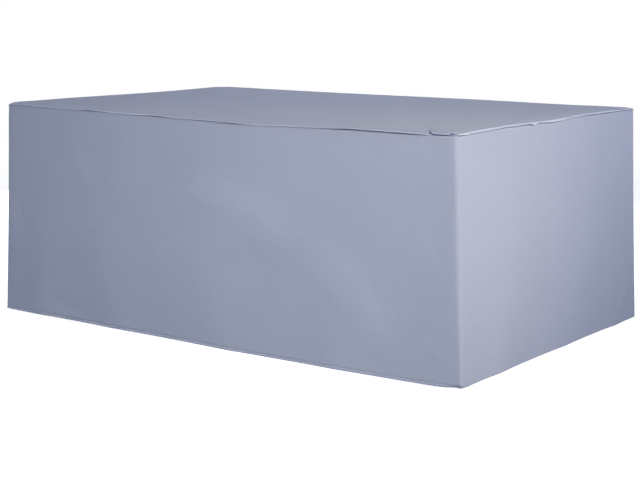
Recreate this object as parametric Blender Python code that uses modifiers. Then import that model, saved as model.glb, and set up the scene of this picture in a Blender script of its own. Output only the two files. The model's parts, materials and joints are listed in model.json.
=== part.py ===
"""Fitted rectangular cover for patio furniture, in the shape in which it hangs over a table and chairs.

Three pieces of cloth: a top panel, one wall band that runs round all four sides and ends in a turned-up
hem, and the binding of the seam between them. The cover is hollow and open below.

Metres, +Z up. X runs along the cover, Y across it, and the hem's lowest point is at Z = 0. The origin is in
the middle of the floor that the cover stands over. "front" is the long wall at -Y, "right" the end at +X.
"""

import functools
import math

import bmesh
import bpy
from mathutils import Vector

# ---- Driving dimensions ----
TOP_LENGTH = 2.25  # from seam to seam, along X
TOP_WIDTH = 1.43  # from seam to seam, along Y
TOP_LEVEL = 0.90  # of the top's seams, where they don't sag
CLOTH = 0.002  # thickness of one layer
SEWN_GAP = 0.00035  # between two pieces that are sewn together

SEAM_CORNER_RADIUS = 0.018  # in plan, at the top seam
# The rounded corners in plan. Columns: share of the way down the wall, radius.
CORNER_RADII = [(0.0, SEAM_CORNER_RADIUS), (0.15, 0.028), (0.5, 0.022), (1.0, 0.012)]
# How far each top corner droops below the seams that meet there. Columns: X side, Y side, droop.
CORNER_DROOPS = [(-1, -1, 0.013), (1, -1, 0.0), (1, 1, 0.014), (-1, 1, 0.009)]
CORNER_DROOP_REACH = 0.036  # half width of the drooping corner
SAG_REACH = 0.24  # how far in from a seam the top still slopes down to it
SHOULDER_RISE = 0.0045  # how far the top bellies up above its seams
SHOULDER_REACH = 0.11  # how far in from a seam it is still rounded
FLARE_POWER = 1.1  # 1 would be a straight slope from the seam out to the hem

HEM_HEIGHT = 0.012  # of the turned-up hem
HEM_GAP = 0.0006  # between the hem's two layers
HEM_FOLD_STEPS = 4
HEM_FOLD_RADIUS = CLOTH + HEM_GAP / 2  # of the fold's outer face

BINDING_THICKNESS = 0.0026
BINDING_DROP = 0.0008  # of its root below the top's upper face
BINDING_STEP = 0.020  # the longest step between its columns
BINDING_ENDS_AT = 1.015  # where its two ends meet, along the front seam
BINDING_END_GAP = 0.0015

# ---- How finely the cloth is divided ----
LONG_PANELS = 28  # between two corners, along X
SHORT_PANELS = 18  # between two corners, along Y
WALL_ROWS = 8  # from the seam down to the hem's stitches
BINDING_ROWS = 2  # from its root to its edge

HALF_LENGTH = TOP_LENGTH / 2
HALF_WIDTH = TOP_WIDTH / 2

# How far the top seam hangs below the top's level. Columns: along the side, sag.
SEAM_SAG = {
    "front": [
        (-1.125, 0.001),
        (-0.650, 0.003),
        (-0.200, 0.008),
        (0.160, 0.014),
        (0.380, 0.011),
        (0.590, 0.008),
        (0.680, 0.005),
        (0.800, 0.006),
        (0.980, 0.005),
        (1.125, 0.001),
    ],
    "right": [(-0.715, 0.001), (-0.350, -0.003), (-0.060, 0.001), (0.300, -0.003), (0.715, 0.001)],
    "back": [(-1.125, 0.001), (-0.400, 0.003), (0.350, 0.001), (0.800, 0.003), (1.125, 0.001)],
    "left": [(-0.715, 0.001), (-0.300, -0.002), (0.250, 0.003), (0.715, 0.001)],
}

# The hem. Columns: along the side, how far it stands out beyond the seam, how far it hangs above the floor.
HEM = {
    "front": [
        (-1.125, 0.030, 0.006),
        (-0.600, 0.031, 0.004),
        (0.200, 0.036, 0.0001),
        (0.700, 0.033, 0.0015),
        (1.000, 0.027, 0.003),
        (1.125, 0.024, 0.009),
    ],
    "right": [
        (-0.715, 0.052, 0.009),
        (-0.560, 0.040, 0.005),
        (-0.200, 0.030, 0.003),
        (0.300, 0.025, 0.003),
        (0.715, 0.026, 0.005),
    ],
    "back": [(-1.125, 0.030, 0.008), (-0.450, 0.034, 0.002), (0.350, 0.037, 0.001), (1.125, 0.030, 0.005)],
    "left": [(-0.715, 0.016, 0.006), (-0.250, 0.030, 0.002), (0.350, 0.040, 0.003), (0.715, 0.050, 0.008)],
}

# Broad, soft folds of the walls. Columns: side, along the side at the hem, how far its top leans along the
# side, half width, depth outward, share of the wall's height that it takes up from the hem.
WALL_FOLDS = [
    ("front", -0.92, 0.10, 0.11, 0.004, 0.9),
    ("front", -0.48, -0.22, 0.14, 0.005, 0.8),
    ("front", 0.10, -0.30, 0.16, 0.005, 0.7),
    ("front", 0.62, -0.26, 0.13, 0.004, 0.6),
    ("right", -0.42, 0.12, 0.12, 0.005, 0.8),
    ("right", 0.08, 0.16, 0.10, 0.004, 0.7),
    ("right", 0.52, -0.14, 0.09, 0.005, 0.5),
    ("back", -0.70, 0.15, 0.13, 0.005, 0.8),
    ("back", 0.05, 0.20, 0.15, 0.004, 0.7),
    ("back", 0.74, -0.16, 0.12, 0.005, 0.8),
    ("left", -0.30, 0.10, 0.11, 0.004, 0.7),
    ("left", 0.34, -0.12, 0.12, 0.005, 0.8),
]

# How the seam binding stands out. Columns: along the side, tilt up from level in degrees, width. It hangs down
# over the wall where it lies close to it, and one cut end stands up.
BINDING = {
    "front": [
        (-1.125, -35, 0.0045),
        (-1.000, -30, 0.0055),
        (-0.860, -45, 0.0055),
        (-0.700, -40, 0.0055),
        (-0.660, -8, 0.0070),
        (-0.570, -10, 0.0080),
        (-0.530, -30, 0.0070),
        (-0.490, -60, 0.0055),
        (-0.400, -50, 0.0055),
        (-0.330, -12, 0.0075),
        (-0.240, -6, 0.0085),
        (-0.195, -10, 0.0080),
        (-0.160, -50, 0.0060),
        (-0.080, -35, 0.0060),
        (-0.030, -10, 0.0075),
        (0.060, -6, 0.0085),
        (0.130, -6, 0.0090),
        (0.175, -20, 0.0080),
        (0.210, -60, 0.0060),
        (0.280, -50, 0.0060),
        (0.460, -45, 0.0060),
        (0.560, -25, 0.0075),
        (0.630, -12, 0.0095),
        (0.720, -12, 0.0105),
        (0.960, -14, 0.0100),
        (0.985, -40, 0.0075),
        (1.015, -45, 0.0065),
    ],
    "front, past the ends": [
        (1.015, 90, 0.0145),
        (1.022, 65, 0.0120),
        (1.034, 10, 0.0095),
        (1.060, -8, 0.0090),
        (1.098, -6, 0.0090),
        (1.110, 50, 0.0105),
        (1.118, 35, 0.0095),
        (1.125, 0, 0.0080),
    ],
    "right": [
        (-0.715, -20, 0.0080),
        (-0.690, -42, 0.0080),
        (-0.600, -50, 0.0080),
        (-0.500, -52, 0.0080),
        (-0.400, -44, 0.0080),
        (-0.270, -50, 0.0080),
        (-0.110, -36, 0.0080),
        (-0.020, -24, 0.0085),
        (0.060, -40, 0.0080),
        (0.110, -62, 0.0070),
        (0.180, -55, 0.0070),
        (0.220, -34, 0.0080),
        (0.300, -42, 0.0080),
        (0.450, -48, 0.0075),
        (0.600, -50, 0.0065),
        (0.715, -45, 0.0045),
    ],
    "back": [
        (-1.125, -45, 0.0045),
        (-0.700, -35, 0.0060),
        (-0.300, -10, 0.0075),
        (0.000, -40, 0.0060),
        (0.400, -15, 0.0075),
        (0.800, -45, 0.0060),
        (1.125, -45, 0.0045),
    ],
    "left": [
        (-0.715, -45, 0.0045),
        (-0.300, -30, 0.0065),
        (0.100, -10, 0.0075),
        (0.400, -40, 0.0060),
        (0.715, -45, 0.0045),
    ],
}

CLOTH_COLOUR = (0.330, 0.362, 0.455, 1.0)
BINDING_COLOUR = (0.413, 0.445, 0.552, 1.0)
COATED_CLOTH_ROUGHNESS = 0.55


# ---- Curves and tables ----
def smooth_step(share):
    """0 to 1 with level ends, for a share that may run past them."""
    share = min(1.0, max(0.0, share))
    return share * share * (3.0 - 2.0 * share)


def bell(distance, half_width):
    """1 at no distance, falling softly to nothing past the half width."""
    return math.exp(-2.0 * (distance / half_width) ** 2)


def reading(rows, at, column=1):
    """A table's value at a place between its rows, on one smooth curve through them."""
    at = min(rows[-1][0], max(rows[0][0], at))
    first = max(i for i in range(len(rows) - 1) if rows[i][0] <= at)

    def slope(i):
        before, after = rows[max(0, i - 1)], rows[min(len(rows) - 1, i + 1)]
        return (after[column] - before[column]) / (after[0] - before[0])

    here, there = rows[first], rows[first + 1]
    span = there[0] - here[0]
    t = (at - here[0]) / span
    blend = smooth_step(t)
    bend = slope(first) * (t**3 - 2.0 * t**2 + t) + slope(first + 1) * (t**3 - t**2)
    return here[column] * (1.0 - blend) + there[column] * blend + span * bend


# ---- The cover's plan ----
def stations(half, radius, panels):
    """Places along one side: two steps in each rounded corner and even ones between."""
    flat = half - radius
    between = [flat * (2.0 * i / panels - 1.0) for i in range(panels + 1)]
    return [-half, -half + radius / 2.0] + between + [half - radius / 2.0, half]


def rounded(x, y, radius):
    """Moves a point of the square-cornered plan to where a rounded corner has it."""
    past_x = abs(x) - (HALF_LENGTH - radius)
    past_y = abs(y) - (HALF_WIDTH - radius)
    if past_x <= 0.0 or past_y <= 0.0:
        return x, y
    pull = max(past_x, past_y) / math.hypot(past_x, past_y)
    new_x = HALF_LENGTH - radius + past_x * pull
    new_y = HALF_WIDTH - radius + past_y * pull
    return math.copysign(new_x, x), math.copysign(new_y, y)


def plan_place(x, y, radius):
    """(x, y, outward direction, side) of a point on the plan's edge."""
    x, y = rounded(x, y, radius)
    past_x = max(0.0, abs(x) - (HALF_LENGTH - radius))
    past_y = max(0.0, abs(y) - (HALF_WIDTH - radius))
    outward = Vector((math.copysign(past_x, x), math.copysign(past_y, y), 0.0)).normalized()
    if abs(outward.y) >= abs(outward.x):
        return x, y, outward, "front" if y < 0.0 else "back"
    return x, y, outward, "left" if x < 0.0 else "right"


@functools.lru_cache(maxsize=None)
def outline(radius):
    """The plan's edge, anticlockwise from the back left corner and back to it."""
    xs = stations(HALF_LENGTH, radius, LONG_PANELS)
    ys = stations(HALF_WIDTH, radius, SHORT_PANELS)
    square = [(xs[0], y) for y in reversed(ys)]
    square += [(x, ys[0]) for x in xs[1:]]
    square += [(xs[-1], y) for y in ys[1:]]
    square += [(x, ys[-1]) for x in reversed(xs[:-1])]
    return [plan_place(x, y, radius) for x, y in square]


def along(side, x, y):
    """Where a point lies along its side, as the tables count it."""
    return x if side.startswith(("front", "back")) else y


def top_height(x, y):
    """Height of the top's upper face: level in the middle, rounded down to the seams and their own sags."""
    height = TOP_LEVEL + SHOULDER_RISE
    shoulder = 0.0
    distances = {
        "front": HALF_WIDTH + y,
        "back": HALF_WIDTH - y,
        "left": HALF_LENGTH + x,
        "right": HALF_LENGTH - x,
    }
    for side, distance in distances.items():
        fade = 1.0 - smooth_step(distance / SAG_REACH)
        height -= reading(SEAM_SAG[side], along(side, x, y)) * fade
        shoulder = max(shoulder, max(0.0, 1.0 - distance / SHOULDER_REACH) ** 2)
    for x_side, y_side, droop in CORNER_DROOPS:
        distance = math.hypot(x - x_side * HALF_LENGTH, y - y_side * HALF_WIDTH)
        height -= droop * bell(distance, CORNER_DROOP_REACH)
    return height - SHOULDER_RISE * shoulder


# ---- The wall's surface ----
def fold_bulge(side, place, down):
    """How far the side's broad folds push the wall out, at a share of the way down to the hem."""
    bulge = 0.0
    for fold_side, at_hem, lean, half_width, depth, share in WALL_FOLDS:
        if fold_side == side:
            middle = at_hem + lean * (1.0 - down)
            bulge += depth * bell(place - middle, half_width) * smooth_step((down - 1.0 + share) / share)
    return bulge


def wall_rows():
    """(height above the hem's fold, inset from the outer face), down the outside and up inside the hem."""
    rows = [(TOP_LEVEL + (HEM_HEIGHT - TOP_LEVEL) * i / WALL_ROWS, 0.0) for i in range(WALL_ROWS + 1)]
    for i in range(HEM_FOLD_STEPS + 1):
        angle = math.pi * i / HEM_FOLD_STEPS
        rows.append((HEM_FOLD_RADIUS * (1.0 - math.sin(angle)), HEM_FOLD_RADIUS * (1.0 - math.cos(angle))))
    rows.append((HEM_HEIGHT, 2.0 * HEM_FOLD_RADIUS))
    return rows


def wall_point(column, height, inset):
    """A point of the wall's outer face, for a column of the outline and one of the wall's rows."""
    down = 1.0 - height / TOP_LEVEL
    x, y, outward, side = outline(reading(CORNER_RADII, down))[column]
    place = along(side, x, y)
    flare = down**FLARE_POWER
    flare_x = flare * reading(HEM["right" if x > 0.0 else "left"], y) * x / HALF_LENGTH
    flare_y = flare * reading(HEM["back" if y > 0.0 else "front"], x) * y / HALF_WIDTH
    push = outward * (fold_bulge(side, place, down) - inset)
    seam = top_height(x, y) - CLOTH - SEWN_GAP
    fold = reading(HEM[side], place, 2)
    return Vector((x + flare_x + push.x, y + flare_y + push.y, seam + (fold - seam) * down))


# ---- Cloth from a flat grid ----
def cloth_from_grid(name, columns, rows, point, thickness, offset, material, collection):
    """A grid of cloth whose point (column, row) is moved to point(column, row), then given its thickness.

    Row 0 is the grid's far edge. Seen with row 0 up and columns counted to the right, the outer face shows.
    """
    bm = bmesh.new()
    bmesh.ops.create_grid(bm, x_segments=columns, y_segments=rows, size=1.0)
    for vert in bm.verts:
        column = round((vert.co.x + 1.0) / 2.0 * columns)
        row = round((1.0 - vert.co.y) / 2.0 * rows)
        vert.co = point(column, row)
    bmesh.ops.remove_doubles(bm, verts=bm.verts, dist=1e-6)
    mesh = bpy.data.meshes.new(name)
    bm.to_mesh(mesh)
    bm.free()
    mesh.materials.append(material)
    mesh.shade_smooth()
    cloth = bpy.data.objects.new(name, mesh)
    collection.objects.link(cloth)
    solidify = cloth.modifiers.new("Cloth thickness", "SOLIDIFY")
    solidify.thickness = thickness
    solidify.offset = offset
    solidify.use_even_offset = True
    solidify.use_quality_normals = True
    return cloth


def make_top_panel(material, collection):
    xs = stations(HALF_LENGTH, SEAM_CORNER_RADIUS, LONG_PANELS)
    ys = stations(HALF_WIDTH, SEAM_CORNER_RADIUS, SHORT_PANELS)

    def point(column, row):
        x, y = rounded(xs[column], ys[-1 - row], SEAM_CORNER_RADIUS)
        return Vector((x, y, top_height(x, y)))

    return cloth_from_grid(
        "top_panel", len(xs) - 1, len(ys) - 1, point, CLOTH, -1.0, material, collection
    )


def make_wall_band(material, collection):
    """One strip round all four sides. Its two short edges are sewn together at the back left corner."""
    rows = wall_rows()
    columns = len(outline(SEAM_CORNER_RADIUS)) - 1

    def point(column, row):
        return wall_point(column % columns, *rows[row])

    return cloth_from_grid(
        "wall_band", columns, len(rows) - 1, point, CLOTH, -1.0, material, collection
    )


def binding_route():
    """(place on the seam, outward direction, side) from one end of the binding round to the other."""
    ring = []
    for x, y, outward, side in outline(SEAM_CORNER_RADIUS)[:-1]:
        if side == "front" and x > BINDING_ENDS_AT:
            side = "front, past the ends"
        ring.append((Vector((x, y, top_height(x, y))), outward, side))
    cut = next(i for i, item in enumerate(ring) if item[2] == "front, past the ends")
    before, after = ring[cut - 1], ring[cut]

    def end_at(x, end):
        share = (x - before[0].x) / (after[0].x - before[0].x)
        return before[0].lerp(after[0], share), end[1], end[2]

    start = end_at(BINDING_ENDS_AT + BINDING_END_GAP / 2.0, after)
    finish = end_at(BINDING_ENDS_AT - BINDING_END_GAP / 2.0, before)
    coarse = [start] + ring[cut:] + ring[:cut] + [finish]
    route = coarse[:1]
    for here, there in zip(coarse, coarse[1:]):
        steps = math.ceil((there[0] - here[0]).length / BINDING_STEP)
        for i in range(1, steps):
            place = here[0].lerp(there[0], i / steps)
            place.z = top_height(place.x, place.y)
            route.append((place, there[1], there[2]))
        route.append(there)
    return route


def make_seam_binding(material, collection):
    """The bound edge of the top seam: a strip whose root lies along the seam and whose edge stands out."""
    route = binding_route()

    def point(column, row):
        place, outward, side = route[column]
        at = along(side, place.x, place.y)
        tilt = math.radians(reading(BINDING[side], at, 1))
        reach = reading(BINDING[side], at, 2) * (1.0 - row / BINDING_ROWS)
        root = SEWN_GAP + abs(math.sin(tilt)) * BINDING_THICKNESS / 2.0
        rise = Vector((0.0, 0.0, reach * math.sin(tilt) - BINDING_DROP))
        return place + outward * (root + reach * math.cos(tilt)) + rise

    return cloth_from_grid(
        "seam_binding", len(route) - 1, BINDING_ROWS, point, BINDING_THICKNESS, 0.0, material, collection
    )


# ---- The model ----
def coated_cloth(name, colour):
    material = bpy.data.materials.new(name)
    material.use_nodes = True
    shader = material.node_tree.nodes["Principled BSDF"]
    shader.inputs["Base Color"].default_value = colour
    shader.inputs["Roughness"].default_value = COATED_CLOTH_ROUGHNESS
    shader.inputs["Metallic"].default_value = 0.0
    return material


def main():
    for thing in list(bpy.data.objects):
        bpy.data.objects.remove(thing, do_unlink=True)
    collection = bpy.data.collections.new("Patio furniture cover")
    bpy.context.scene.collection.children.link(collection)
    make_top_panel(coated_cloth("Top panel cloth", CLOTH_COLOUR), collection)
    make_wall_band(coated_cloth("Wall band cloth", CLOTH_COLOUR), collection)
    make_seam_binding(coated_cloth("Seam binding cloth", BINDING_COLOUR), collection)


main()
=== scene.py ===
"""Fitted rectangular cover for patio furniture: coated cloth, binding, sewing and a plain studio.

The file is laid out as a Blender add-on and is run as a script. It dresses the cover's solids: each of
the three pieces of cloth is a thin sheet on its solid's own folds, with the finer creases, the puckers
along the seams, the turned-up hem and the stitches added.

Metres, +Z up. X runs along the cover and Y across it. "front" is the long wall at -Y, and "right" is the
end at +X.
"""

import json
import math

import bmesh
import bpy
import numpy as np
from mathutils import Matrix, Vector, noise

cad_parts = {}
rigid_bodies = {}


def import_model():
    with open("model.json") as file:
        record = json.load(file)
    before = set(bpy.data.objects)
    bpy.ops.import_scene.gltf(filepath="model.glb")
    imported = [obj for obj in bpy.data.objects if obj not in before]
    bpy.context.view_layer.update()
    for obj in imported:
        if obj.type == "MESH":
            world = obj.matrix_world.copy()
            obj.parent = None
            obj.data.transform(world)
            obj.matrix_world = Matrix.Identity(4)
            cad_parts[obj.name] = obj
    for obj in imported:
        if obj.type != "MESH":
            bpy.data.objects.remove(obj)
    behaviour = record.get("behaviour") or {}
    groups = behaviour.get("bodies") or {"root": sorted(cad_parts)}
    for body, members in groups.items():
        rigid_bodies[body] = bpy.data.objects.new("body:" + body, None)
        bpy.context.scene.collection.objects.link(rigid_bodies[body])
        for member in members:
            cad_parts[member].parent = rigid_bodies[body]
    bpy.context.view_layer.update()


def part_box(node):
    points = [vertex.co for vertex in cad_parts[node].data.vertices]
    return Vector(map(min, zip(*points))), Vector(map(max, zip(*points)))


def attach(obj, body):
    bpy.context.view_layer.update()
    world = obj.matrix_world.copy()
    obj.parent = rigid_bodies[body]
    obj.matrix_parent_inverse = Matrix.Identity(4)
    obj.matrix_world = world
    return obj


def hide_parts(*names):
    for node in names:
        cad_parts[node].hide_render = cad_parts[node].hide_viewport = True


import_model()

bl_info = {
    "name": "Fitted Patio Cover",
    "version": (1, 0, 0),
    "blender": (4, 5, 0),
    "location": "3D View > Sidebar > Patio Cover",
    "description": "Lays the cloth, sews the seams and sets the studio of a fitted patio cover",
    "category": "Object",
}

BODY = "root"
SIDES = ("left", "front", "right", "back")  # in the order in which the wall band runs round them
LEFT, FRONT, RIGHT, BACK = range(4)

# ---- The cover's sizes, as its solids have them ----
HALF_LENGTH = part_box("top_panel")[1].x
HALF_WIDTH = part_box("top_panel")[1].y
TOP_LEVEL = 0.90  # upper face of the top at its seams, where they don't sag
SEAM_CORNER_RADIUS = 0.018  # in plan, at the top seam
# The rounded corners in plan. Columns: share of the way down the wall, radius.
CORNER_RADII = [(0.0, SEAM_CORNER_RADIUS), (0.06, 0.015), (0.5, 0.016), (1.0, 0.012)]
# How far each top corner droops below the seams that meet there. Columns: X side, Y side, droop.
CORNER_DROOPS = [(-1, -1, 0.011), (1, -1, 0.0), (1, 1, 0.005), (-1, 1, 0.005)]
CORNER_DROOP_REACH = 0.036  # half width of the drooping corner
SAG_REACH = 0.24  # how far in from a seam the top still slopes down to it
SHOULDER_RISE = 0.0045  # how far the top bellies up above its seams
SHOULDER_REACH = 0.11  # how far in from a seam it is still rounded
FLARE_POWER = 1.1  # 1 would be a straight slope from the seam out to the hem

# How far the top seam hangs below the top's level. Columns: along the side, sag.
SEAM_SAG = {
    "front": [
        (-1.125, -0.001),
        (-0.650, 0.003),
        (-0.200, 0.008),
        (0.160, 0.014),
        (0.380, 0.011),
        (0.590, 0.008),
        (0.680, 0.005),
        (0.800, 0.006),
        (0.980, 0.005),
        (1.125, 0.001),
    ],
    "right": [(-0.715, 0.001), (-0.350, -0.003), (-0.060, 0.001), (0.300, -0.003), (0.715, 0.001)],
    "back": [(-1.125, 0.001), (-0.400, 0.003), (0.350, 0.001), (0.800, 0.003), (1.125, 0.001)],
    "left": [(-0.715, -0.002), (-0.600, -0.0027), (-0.300, -0.002), (0.250, 0.003), (0.715, 0.001)],
}

# The hem. Columns: along the side, how far it stands out beyond the seam, how far it hangs above the
# floor.
HEM = {
    "front": [
        (-1.125, 0.030, 0.006),
        (-0.600, 0.031, 0.004),
        (0.200, 0.036, 0.0001),
        (0.700, 0.033, 0.0015),
        (1.000, 0.027, 0.003),
        (1.125, 0.024, 0.009),
    ],
    "right": [
        (-0.715, 0.052, 0.009),
        (-0.560, 0.040, 0.005),
        (-0.200, 0.030, 0.003),
        (0.300, 0.025, 0.003),
        (0.715, 0.026, 0.005),
    ],
    "back": [
        (-1.125, 0.030, 0.008),
        (-0.450, 0.034, 0.002),
        (0.350, 0.037, 0.001),
        (1.125, 0.030, 0.005),
    ],
    "left": [
        (-0.715, 0.016, 0.006),
        (-0.250, 0.030, 0.002),
        (0.350, 0.040, 0.003),
        (0.715, 0.050, 0.008),
    ],
}

# Broad, soft folds of the walls. Columns: along the side at the hem, how far the fold's top leans along
# the side, half width, depth outward, share of the wall's height that it takes up from the hem.
WALL_FOLDS = {
    "front": [
        (-0.92, 0.10, 0.11, 0.004, 0.9),
        (-0.48, -0.22, 0.14, 0.005, 0.8),
        (0.10, -0.30, 0.16, 0.005, 0.7),
        (0.62, -0.26, 0.13, 0.004, 0.6),
    ],
    "right": [
        (-0.42, 0.12, 0.12, 0.005, 0.8),
        (0.08, 0.16, 0.10, 0.004, 0.7),
        (0.52, -0.14, 0.09, 0.005, 0.5),
    ],
    "back": [
        (-0.70, 0.15, 0.13, 0.005, 0.8),
        (0.05, 0.20, 0.15, 0.004, 0.7),
        (0.74, -0.16, 0.12, 0.005, 0.8),
    ],
    "left": [(-0.30, 0.10, 0.11, 0.004, 0.7), (0.34, -0.12, 0.12, 0.005, 0.8)],
}

# ---- The cloth's own creases ----
# Soft ridges and troughs of the walls. Columns: from along, from height, to along, to height, sideways
# bow of the middle, half width, depth outward.
WALL_CREASES = {
    "front": [
        (-0.15, 0.70, 0.50, 0.46, 0.015, 0.110, 0.0036),
        (0.40, 0.54, 0.88, 0.08, -0.020, 0.110, 0.0040),
        (-0.17, 0.64, 0.19, 0.55, 0.010, 0.030, 0.0006),
        (-0.10, 0.67, 0.10, 0.58, 0.006, 0.018, -0.0004),
        (0.05, 0.83, 0.09, 0.73, 0.004, 0.012, 0.0005),
        (0.55, 0.49, 0.60, 0.40, -0.004, 0.012, 0.0005),
        (0.72, 0.42, 0.90, 0.27, 0.010, 0.024, 0.0006),
        (0.74, 0.40, 0.80, 0.29, 0.004, 0.016, -0.0004),
        (-0.23, 0.060, -0.15, 0.002, 0.004, 0.007, 0.0018),
        (-0.95, 0.10, -0.55, 0.03, 0.010, 0.030, -0.0018),
        (-1.06, 0.55, -0.98, 0.28, 0.010, 0.040, -0.0020),
        (-0.75, 0.80, -0.60, 0.55, 0.010, 0.045, 0.0016),
        (0.98, 0.60, 1.09, 0.42, 0.008, 0.022, -0.0012),
        (0.45, 0.25, 0.60, 0.16, 0.006, 0.014, 0.0008),
        (0.96, 0.20, 1.09, 0.07, 0.008, 0.020, 0.0010),
    ],
    "right": [
        (-0.02, 0.735, 0.22, 0.700, 0.004, 0.009, -0.0011),
        (0.28, 0.485, 0.47, 0.455, 0.004, 0.009, -0.0010),
        (-0.66, 0.800, -0.55, 0.780, 0.003, 0.009, 0.0010),
        (-0.27, 0.850, -0.13, 0.835, 0.003, 0.010, 0.0010),
        (-0.43, 0.800, -0.35, 0.780, 0.002, 0.008, 0.0008),
        (-0.10, 0.62, 0.18, 0.50, 0.010, 0.016, 0.0010),
        (-0.34, 0.56, -0.20, 0.46, 0.006, 0.013, -0.0009),
        (-0.12, 0.46, 0.06, 0.34, 0.008, 0.014, 0.0010),
        (0.10, 0.33, 0.24, 0.24, 0.006, 0.012, -0.0009),
        (0.34, 0.32, 0.50, 0.20, 0.008, 0.014, 0.0010),
        (0.47, 0.29, 0.60, 0.26, 0.003, 0.009, 0.0009),
        (0.54, 0.05, 0.66, 0.20, 0.010, 0.012, 0.0015),
        (0.44, 0.02, 0.62, 0.24, 0.014, 0.030, -0.0022),
        (0.60, 0.62, 0.66, 0.36, 0.006, 0.020, -0.0014),
        (0.50, 0.78, 0.62, 0.60, 0.008, 0.018, 0.0010),
        (-0.66, 0.24, -0.58, 0.215, 0.003, 0.009, 0.0009),
        (-0.60, 0.15, -0.40, 0.06, 0.008, 0.020, 0.0010),
        (0.02, 0.20, 0.22, 0.10, 0.008, 0.018, 0.0010),
    ],
    "back": [
        (-0.90, 0.72, -0.50, 0.55, 0.015, 0.045, 0.0020),
        (-0.35, 0.60, 0.05, 0.32, -0.020, 0.050, -0.0018),
        (0.20, 0.75, 0.42, 0.52, 0.010, 0.018, 0.0012),
        (0.55, 0.45, 0.95, 0.20, 0.015, 0.040, 0.0020),
        (0.70, 0.82, 0.78, 0.62, 0.005, 0.012, -0.0009),
        (-0.70, 0.20, -0.52, 0.06, 0.008, 0.016, 0.0012),
        (-1.05, 0.45, -0.92, 0.22, 0.008, 0.022, -0.0014),
        (0.05, 0.22, 0.18, 0.05, 0.006, 0.012, 0.0010),
    ],
    "left": [
        (-0.45, 0.70, -0.10, 0.55, 0.012, 0.035, 0.0016),
        (0.10, 0.60, 0.38, 0.34, -0.014, 0.040, -0.0016),
        (-0.60, 0.35, -0.36, 0.14, 0.010, 0.022, 0.0012),
        (0.30, 0.82, 0.46, 0.64, 0.006, 0.014, 0.0010),
        (0.42, 0.20, 0.58, 0.05, 0.008, 0.016, 0.0012),
    ],
}

# Soft ridges and troughs of the top. Columns: from along, from across, to along, to across, sideways
# bow, half width, height.
TOP_CREASES = [
    (0.10, -0.36, 0.36, -0.24, 0.010, 0.018, -0.0016),
    (0.40, -0.20, 0.90, -0.12, 0.020, 0.030, -0.0014),
    (-0.42, -0.56, 0.10, -0.50, 0.012, 0.016, 0.0018),
    (-0.28, -0.63, 0.16, -0.585, 0.010, 0.014, 0.0016),
    (-0.10, -0.675, 0.20, -0.650, 0.006, 0.010, 0.0012),
    (0.84, -0.52, 1.08, -0.66, 0.008, 0.020, 0.0020),
    (0.96, -0.34, 1.08, -0.58, 0.010, 0.020, 0.0016),
    (-1.08, -0.66, -0.80, -0.46, 0.012, 0.022, 0.0018),
    (-1.07, 0.64, -0.76, 0.42, 0.012, 0.024, 0.0018),
    (1.08, 0.66, 0.80, 0.44, 0.012, 0.024, 0.0018),
    (-0.60, 0.20, 0.10, 0.28, 0.020, 0.040, 0.0014),
    (-0.85, -0.15, -0.30, -0.05, 0.016, 0.036, -0.0014),
    (0.30, 0.30, 0.80, 0.16, 0.020, 0.036, 0.0014),
    (0.20, 0.60, 0.60, 0.55, 0.010, 0.018, 0.0010),
]

# The shape of one such crease: it fades at both ends and has a shallow trough in its lee.
CREASE_FADE = 0.38  # share of its length over which each end fades
LEE_DEPTH = 0.45  # share of its depth
LEE_OFFSET = 1.7  # from its middle line to that of the trough, in its own half widths
LEE_WIDTH = 1.5  # half width of the trough, in its own half widths
CREASES_BELOW_SEAM = 0.03  # how far down the walls the creases reach their full depth
CREASES_ABOVE_FOLD = 0.02  # and how far up from the hem's fold
CREASES_FROM_TOP_SEAM = 0.030  # and how far in over the top
PALE_CREST = 0.002  # relief at which a crest is at its palest, partly stretched film and partly painted highlight

# Where the cloth is crumpled most. Columns: side, along, height, half width along, half width up,
# strength.
CRUMPLED_PATCHES = [
    (RIGHT, 0.10, 0.52, 0.42, 0.32, 1.0),
    (RIGHT, 0.50, 0.22, 0.26, 0.22, 0.9),
    (RIGHT, -0.50, 0.66, 0.20, 0.20, 0.6),
    (FRONT, 0.00, 0.61, 0.22, 0.10, 0.5),
    (FRONT, 0.82, 0.33, 0.16, 0.12, 0.45),
    (FRONT, 0.55, 0.22, 0.20, 0.12, 0.35),
    (BACK, -0.30, 0.50, 0.50, 0.30, 0.7),
    (BACK, 0.60, 0.30, 0.35, 0.22, 0.7),
    (LEFT, 0.10, 0.45, 0.35, 0.28, 0.7),
]
SMOOTH_CLOTH_CRUMPLE = 0.22  # strength of the crumple everywhere else
WALL_CRUMPLE_SIZE = 0.085  # of one small fold
TOP_CRUMPLE_SIZE = 0.120
RIDGE_SIZE = 0.45  # of the sharp ridges, as a share of a fold's size
RIDGE_SHARE = 0.45  # of their height in a fold's
RIDGE_SHARPNESS = 2.2
RIDGE_MEAN = 0.25  # taken off, so that the ridges don't lift the cloth

# Puckers along a line of stitches: how far they reach from it, and how far apart they are.
TOP_PUCKERS = (0.022, 0.032)
SEAM_PUCKERS = (0.020, 0.030)
HEM_PUCKERS = (0.014, 0.022)
HEM_PUCKER_SHARE = 0.7  # of the depth of the others
PUCKERS_START = 0.004  # from the seam
SIDE_SHIFT = 3.0  # keeps the uneven lines of one side apart from those of the next

# ---- The binding of the top seam ----
BINDING_DROP = 0.0008  # of its root below the top's upper face
BINDING_ENDS_AT = 1.015  # where its two ends meet, along the front seam
BINDING_END_GAP = 0.0030
BINDING_THICKNESS = 0.0026  # of the folded strip with the cloths' edges inside it
BINDING_ROOT = -0.0004  # how far it reaches in over the cloth from the seam
BINDING_STITCHES_AT = 0.0019  # out from the seam
BINDING_SWELL_AT = 0.0006  # out from the seam, between its root and its stitches
BINDING_PINCH = 0.74  # share of its thickness that the stitches leave
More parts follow.
